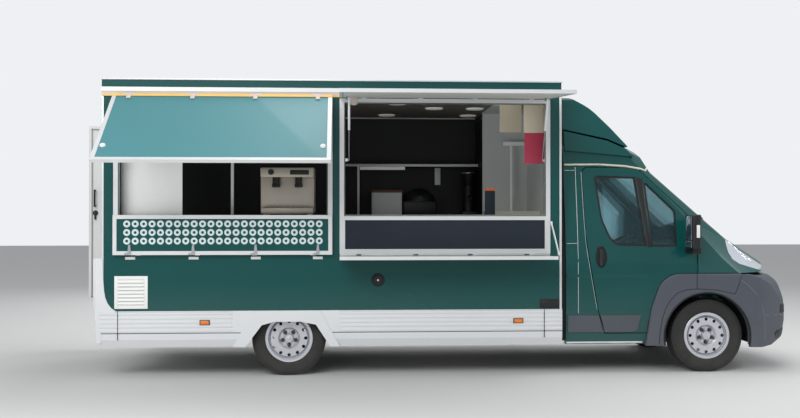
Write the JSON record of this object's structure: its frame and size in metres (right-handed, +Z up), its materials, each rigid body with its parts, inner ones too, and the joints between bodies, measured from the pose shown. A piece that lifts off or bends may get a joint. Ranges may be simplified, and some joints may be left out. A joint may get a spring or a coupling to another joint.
{
  "type": "food truck",
  "caption": "Panel-built food truck on a van cab, with two serving hatches in its side, gas-strut flaps, fold-down shelf, opening doors and bonnet, and steered, rolling wheels.",
  "frame": {"origin": "on the ground on the centreline, midway between the axles", "axes": "+X forward, +Y to the vehicle's left, +Z up"},
  "size_m": [7.3403, 3.5202, 2.7949],
  "materials": {
    "tyre": "black rubber",
    "steel_wheel": "silver paint",
    "chassis_black": "black chassis paint",
    "cast_metal": "raw cast metal",
    "galvanised": "dull steel",
    "tank_plastic": "black moulded plastic",
    "floor_panel": "grey non-slip floor",
    "green_paint": "dark green gloss paint",
    "white_profile": "pale anodised profile",
    "grey_skirt": "light grey panel",
    "white_panel": "white panel",
    "lamp_red": "red lens",
    "slate": "matt slate paint",
    "gas_tube": "white tube",
    "gas_rod": "polished rod",
    "glass_tinted": "tinted glass",
    "lamp_clear": "clear lens",
    "grey_plastic": "dark grey textured plastic",
    "black_plastic": "black plastic",
    "seat_fabric": "dark woven cloth",
    "steel_top": "brushed stainless steel",
    "cabinet_grey": "light grey laminate"
  },
  "bodies": {
    "root": {"rear_axle": "chassis_black", "front_subframe": "chassis_black", "chassis_frame": "chassis_black", "engine_block": "cast_metal", "fuel_tank": "tank_plastic", "exhaust": "galvanised", "box_floor": "floor_panel", "box_roof": "green_paint", "roof_profiles": "white_profile", "box_wall_right": "green_paint", "box_wall_left": "green_paint", "box_wall_front": "green_paint", "box_wall_rear": "green_paint", "box_skirts": "grey_skirt", "tail_lamps": "lamp_red", "hatch_frames": "white_profile", "chalkboards": "slate", "cab_shell": "green_paint", "windscreen": "glass_tinted", "front_wings": "green_paint", "headlamps": "lamp_clear", "arch_mouldings": "grey_plastic", "front_bumper": "grey_plastic", "grille": "black_plastic", "deflector": "green_paint", "dashboard": "black_plastic", "steering_wheel": "black_plastic", "seats": "seat_fabric", "serving_counter": "steel_top", "tall_cabinet": "cabinet_grey", "back_units": "steel_top"},
    "wheel_rear_left": {"tyre_rear_left": "tyre", "rim_rear_left": "steel_wheel"},
    "knuckle_left": {"knuckle_left": "cast_metal"},
    "wheel_front_left": {"tyre_front_left": "tyre", "rim_front_left": "steel_wheel"},
    "cab_door_left": {"cab_door_left": "green_paint", "door_glass_left": "glass_tinted", "mirror_left": "black_plastic"},
    "wheel_rear_right": {"tyre_rear_right": "tyre", "rim_rear_right": "steel_wheel"},
    "knuckle_right": {"knuckle_right": "cast_metal"},
    "wheel_front_right": {"tyre_front_right": "tyre", "rim_front_right": "steel_wheel"},
    "cab_door_right": {"cab_door_right": "green_paint", "door_glass_right": "glass_tinted", "mirror_right": "black_plastic"},
    "bonnet": {"bonnet": "green_paint"},
    "rear_door": {"rear_door": "white_panel"},
    "upper_flap_rear": {"upper_flap_rear": "green_paint"},
    "lower_flap_rear": {"lower_flap_rear": "green_paint"},
    "gas_tubes_rear": {"gas_tubes_rear": "gas_tube"},
    "gas_rods_rear": {"gas_rods_rear": "gas_rod"},
    "upper_flap_front": {"upper_flap_front": "green_paint"},
    "lower_flap_front": {"lower_flap_front": "green_paint"},
    "gas_tubes_front": {"gas_tubes_front": "gas_tube"},
    "gas_rods_front": {"gas_rods_front": "gas_rod"}
  },
  "joints": [
    {"name": "wheel_rear_right_spin", "type": "hinge", "parent": "root", "child": "wheel_rear_right", "pos_m": [-2.0175, -0.895, 0.35], "axis": [0, 1, 0], "continuous": true},
    {"name": "steer_right", "type": "hinge", "parent": "root", "child": "knuckle_right", "pos_m": [2.0175, -0.845, 0.232], "axis": [0, 0.2588, 0.9659], "range_deg": [-35, 35]},
    {"name": "wheel_front_right_spin", "type": "hinge", "parent": "knuckle_right", "child": "wheel_front_right", "pos_m": [2.0175, -0.905, 0.35], "axis": [0, 1, 0], "continuous": true},
    {"name": "cab_door_right_hinge", "type": "hinge", "parent": "root", "child": "cab_door_right", "pos_m": [1.92, -1.018, 1], "axis": [0, 0, 1], "range_deg": [0, 65]},
    {"name": "wheel_rear_left_spin", "type": "hinge", "parent": "root", "child": "wheel_rear_left", "pos_m": [-2.0175, 0.895, 0.35], "axis": [0, 1, 0], "continuous": true},
    {"name": "steer_left", "type": "hinge", "parent": "root", "child": "knuckle_left", "pos_m": [2.0175, 0.845, 0.232], "axis": [0, -0.2588, 0.9659], "range_deg": [-35, 35]},
    {"name": "wheel_front_left_spin", "type": "hinge", "parent": "knuckle_left", "child": "wheel_front_left", "pos_m": [2.0175, 0.905, 0.35], "axis": [0, 1, 0], "continuous": true},
    {"name": "cab_door_left_hinge", "type": "hinge", "parent": "root", "child": "cab_door_left", "pos_m": [1.92, 1.018, 1], "axis": [0, 0, -1], "range_deg": [0, 65]},
    {"name": "bonnet_hinge", "type": "hinge", "parent": "root", "child": "bonnet", "pos_m": [2.294, 0, 1.412], "axis": [0, -1, 0], "range_deg": [0, 60]},
    {"name": "rear_door_hinge", "type": "hinge", "parent": "root", "child": "rear_door", "pos_m": [-3.756, 0.962, 1.5], "axis": [0, 0, -1], "range_deg": [-90, 0]},
    {"name": "upper_flap_rear_hinge", "type": "hinge", "parent": "root", "child": "upper_flap_rear", "pos_m": [-2.623, -1.098, 2.624], "axis": [-1, 0, 0], "range_deg": [-53, 32.7]},
    {"name": "gas_tubes_rear_hinge", "type": "hinge", "parent": "upper_flap_rear", "child": "gas_tubes_rear", "pos_m": [-2.623, -1.27306, 2.4758], "axis": [1, 0, 0], "range_deg": [-66.69, 41.15]},
    {"name": "gas_rods_rear_slide", "type": "slide", "parent": "gas_tubes_rear", "child": "gas_rods_rear", "axis": [0, 0.4292, -0.9032], "range_m": [-0.15278, 0.09426]},
    {"name": "lower_flap_rear_hinge", "type": "hinge", "parent": "root", "child": "lower_flap_rear", "pos_m": [-2.623, -1.098, 1.146], "axis": [1, 0, 0], "range_deg": [0, 90]},
    {"name": "upper_flap_front_hinge", "type": "hinge", "parent": "root", "child": "upper_flap_front", "pos_m": [-0.537, -1.098, 2.624], "axis": [-1, 0, 0], "range_deg": [-85.7, 0]},
    {"name": "gas_tubes_front_hinge", "type": "hinge", "parent": "upper_flap_front", "child": "gas_tubes_front", "pos_m": [-0.537, -1.32538, 2.59387], "axis": [1, 0, 0], "range_deg": [-107.84, 0]},
    {"name": "gas_rods_front_slide", "type": "slide", "parent": "gas_tubes_front", "child": "gas_rods_front", "axis": [0, 0.4241, -0.9056], "range_m": [-0.25634, 0]},
    {"name": "lower_flap_front_hinge", "type": "hinge", "parent": "root", "child": "lower_flap_front", "pos_m": [-0.537, -1.098, 1.146], "axis": [1, 0, 0], "range_deg": [-90, 0]}
  ],
  "couplings": [
    {"joint": "steer_left", "follows": "steer_right", "ratio": 1},
    {"joint": "gas_tubes_rear_hinge", "follows": "upper_flap_rear_hinge", "ratio": 1.2571},
    {"joint": "gas_rods_rear_slide", "follows": "upper_flap_rear_hinge", "m_per_rad": 0.165},
    {"joint": "gas_tubes_front_hinge", "follows": "upper_flap_front_hinge", "ratio": 1.2571},
    {"joint": "gas_rods_front_slide", "follows": "upper_flap_front_hinge", "m_per_rad": 0.17121}
  ]
}
